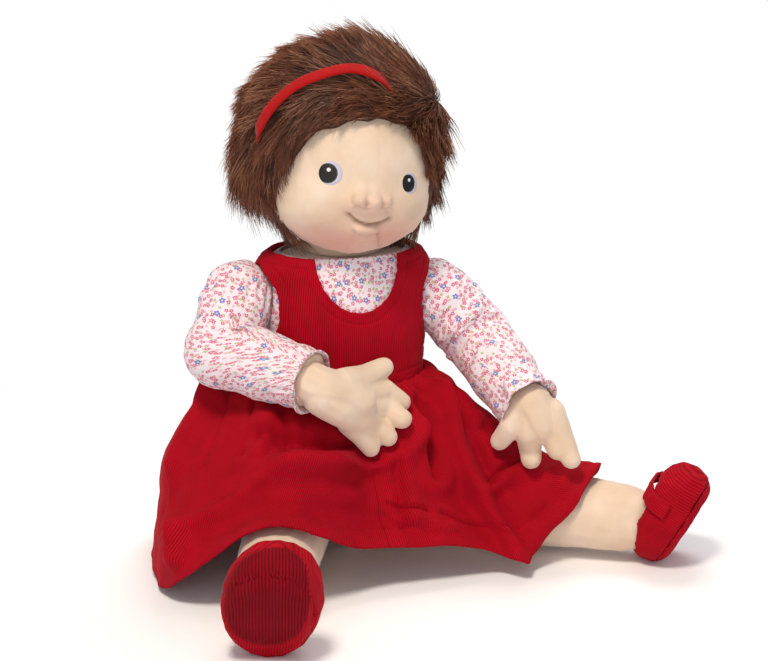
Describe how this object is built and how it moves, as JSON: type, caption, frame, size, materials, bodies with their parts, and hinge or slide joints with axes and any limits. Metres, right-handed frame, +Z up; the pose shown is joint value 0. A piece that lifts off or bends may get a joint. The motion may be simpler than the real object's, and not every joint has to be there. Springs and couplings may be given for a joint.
{
  "type": "cloth doll",
  "caption": "Seated stuffed cloth doll with faux-fur hair, printed blouse, corduroy pinafore and soft strap shoes.",
  "frame": {"origin": "on the floor, in the middle of the flat that the doll sits on, under its seat", "axes": "+Z up; the doll faces -Y; +X towards the doll's left side"},
  "size_m": [0.3415, 0.2911, 0.3233],
  "materials": {
    "stuffed_cotton": "brushed cotton jersey over fibre filling",
    "hair_pile": "long brown faux-fur pile",
    "knit_red": "red knitted cord",
    "print_cotton": "fine cotton with a small flower print",
    "corduroy": "fine-wale red corduroy",
    "thread_black": "satin-stitched thread"
  },
  "bodies": {
    "body": {"torso": "stuffed_cotton", "blouse_body": "print_cotton", "pinafore_bodice": "corduroy", "back_placket": "corduroy", "pinafore_skirt": "corduroy"},
    "neck": {"neck": "stuffed_cotton"},
    "head": {"head": "stuffed_cotton", "hair": "hair_pile", "headband": "knit_red", "eye_right": "thread_black", "eye_left": "thread_black", "ear_right": "stuffed_cotton", "ear_left": "stuffed_cotton"},
    "upper_arm_right": {"upper_arm_right": "stuffed_cotton", "blouse_sleeve_right": "print_cotton"},
    "forearm_right": {"forearm_right": "stuffed_cotton", "hand_right": "stuffed_cotton"},
    "upper_arm_left": {"upper_arm_left": "stuffed_cotton", "blouse_sleeve_left": "print_cotton"},
    "forearm_left": {"forearm_left": "stuffed_cotton", "hand_left": "stuffed_cotton"},
    "leg_right": {"leg_right": "stuffed_cotton", "foot_right": "stuffed_cotton", "shoe_sole_right": "corduroy", "shoe_upper_right": "corduroy", "shoe_strap_right": "corduroy"},
    "leg_left": {"leg_left": "stuffed_cotton", "foot_left": "stuffed_cotton", "shoe_sole_left": "corduroy", "shoe_upper_left": "corduroy", "shoe_strap_left": "corduroy"}
  },
  "joints": [
    {"name": "head_turn", "type": "hinge", "parent": "body", "child": "neck", "pos_m": [0.004, 0, 0.186], "axis": [0, 0, 1], "range_deg": [-30, 30]},
    {"name": "head_nod", "type": "hinge", "parent": "neck", "child": "head", "pos_m": [0.004, 0, 0.206], "axis": [1, 0, 0], "range_deg": [-10, 12]},
    {"name": "shoulder_right", "type": "hinge", "parent": "body", "child": "upper_arm_right", "pos_m": [-0.063, -0.002, 0.163], "axis": [-1, 0, 0], "range_deg": [0, 60]},
    {"name": "elbow_right", "type": "hinge", "parent": "upper_arm_right", "child": "forearm_right", "pos_m": [-0.07945, -0.02092, 0.13312], "axis": [0.4775, 0.5994, -0.6424], "range_deg": [0, 75], "deforming": ["blouse_sleeve_right"]},
    {"name": "shoulder_left", "type": "hinge", "parent": "body", "child": "upper_arm_left", "pos_m": [0.063, -0.002, 0.156], "axis": [-1, 0, 0], "range_deg": [0, 60]},
    {"name": "elbow_left", "type": "hinge", "parent": "upper_arm_left", "child": "forearm_left", "pos_m": [0.0854, -0.01888, 0.12891], "axis": [0.6436, -0.2855, 0.7102], "range_deg": [-40, 10], "deforming": ["blouse_sleeve_left"]},
    {"name": "hip_right", "type": "hinge", "parent": "body", "child": "leg_right", "pos_m": [-0.028, -0.008, 0.03], "axis": [0.9232, -0.3843, 0], "range_deg": [0, 80], "deforming": ["pinafore_skirt"]},
    {"name": "hip_left", "type": "hinge", "parent": "body", "child": "leg_left", "pos_m": [0.028, -0.008, 0.03], "axis": [0.5577, 0.83, 0], "range_deg": [0, 80], "deforming": ["pinafore_skirt"]}
  ]
}
